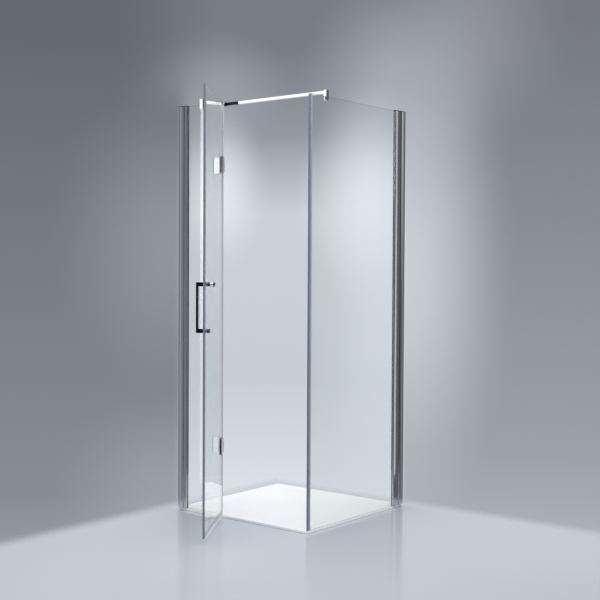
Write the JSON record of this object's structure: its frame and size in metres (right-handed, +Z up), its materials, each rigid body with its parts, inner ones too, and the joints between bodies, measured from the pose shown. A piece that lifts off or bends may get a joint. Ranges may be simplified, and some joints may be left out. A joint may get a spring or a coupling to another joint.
{
  "type": "corner shower enclosure",
  "caption": "Corner shower enclosure: thin tray, fixed glass panels in wall profiles, hinged glass door standing open, support bar across the top.",
  "frame": {"origin": "on the tray's underside, 4 mm in x and 4 mm in y from its centre, on the floor", "axes": "+Z up; +X along the front towards the free glass corner; +Y towards the back wall; the left wall is at the -X end"},
  "size_m": [0.81, 1.1844, 1.997],
  "materials": {
    "glass": "clear toughened float glass, ground edges",
    "profile": "bright polished, vertical extrusion lines",
    "chrome": "polished",
    "dark_chrome": "polished, reflects dark surroundings",
    "steel": "fine turned",
    "gasket": "matt grey",
    "clear_seal": "clear soft extrusion",
    "profile_cap": "dark grey moulded",
    "tray": "white cast resin stone, satin",
    "waste_cover": "white, satin"
  },
  "bodies": {
    "enclosure": {"back_adjusting_profile": "profile", "back_glazing_gasket": "gasket", "back_lock_screw_1": "steel", "back_lock_screw_2": "steel", "back_lock_screw_3": "steel", "back_profile_cap": "profile_cap", "back_wall_channel": "profile", "corner_connector": "dark_chrome", "inline_glass": "glass", "inline_glass_clamp": "chrome", "inline_glass_clamp_screw": "steel", "left_adjusting_profile": "profile", "left_glazing_gasket": "gasket", "left_lock_screw_1": "steel", "left_lock_screw_2": "steel", "left_lock_screw_3": "steel", "left_profile_cap": "profile_cap", "left_wall_channel": "profile", "lower_hinge_fixed_inner_leaf": "chrome", "lower_hinge_fixed_outer_leaf": "chrome", "lower_hinge_fixed_screw_1": "steel", "lower_hinge_fixed_screw_2": "steel", "lower_hinge_pin": "chrome", "lower_hinge_seal": "clear_seal", "middle_hinge_seal": "clear_seal", "shower_tray": "tray", "side_glass": "glass", "side_glass_clamp": "chrome", "side_glass_clamp_screw": "steel", "side_magnet_seal": "clear_seal", "support_bar": "chrome", "support_short_arm": "chrome", "upper_hinge_fixed_inner_leaf": "chrome", "upper_hinge_fixed_outer_leaf": "chrome", "upper_hinge_fixed_screw_1": "steel", "upper_hinge_fixed_screw_2": "steel", "upper_hinge_pin": "chrome", "upper_hinge_seal": "clear_seal", "waste_flange": "steel"},
    "door": {"door_bottom_seal": "clear_seal", "door_glass": "glass", "door_magnet_seal": "clear_seal", "handle_grip": "dark_chrome", "inner_knob": "chrome", "lower_handle_stud": "steel", "lower_handle_washer": "clear_seal", "lower_hinge_door_inner_leaf": "chrome", "lower_hinge_door_outer_leaf": "chrome", "lower_hinge_door_screw_1": "steel", "lower_hinge_door_screw_2": "steel", "lower_inner_cap": "dark_chrome", "upper_handle_stud": "steel", "upper_handle_washer": "clear_seal", "upper_hinge_door_inner_leaf": "chrome", "upper_hinge_door_outer_leaf": "chrome", "upper_hinge_door_screw_1": "steel", "upper_hinge_door_screw_2": "steel", "upper_inner_cap": "dark_chrome"},
    "waste_cover": {"waste_cover": "waste_cover"}
  },
  "joints": [
    {"name": "door_swing", "type": "hinge", "parent": "enclosure", "child": "door", "pos_m": [-0.125, -0.372, 1], "axis": [0, 0, -1], "range_deg": [-56.4, 43.6]},
    {"name": "waste_cover_lift", "type": "slide", "parent": "enclosure", "child": "waste_cover", "axis": [0, 0, 1], "range_m": [0, 0.06]}
  ]
}
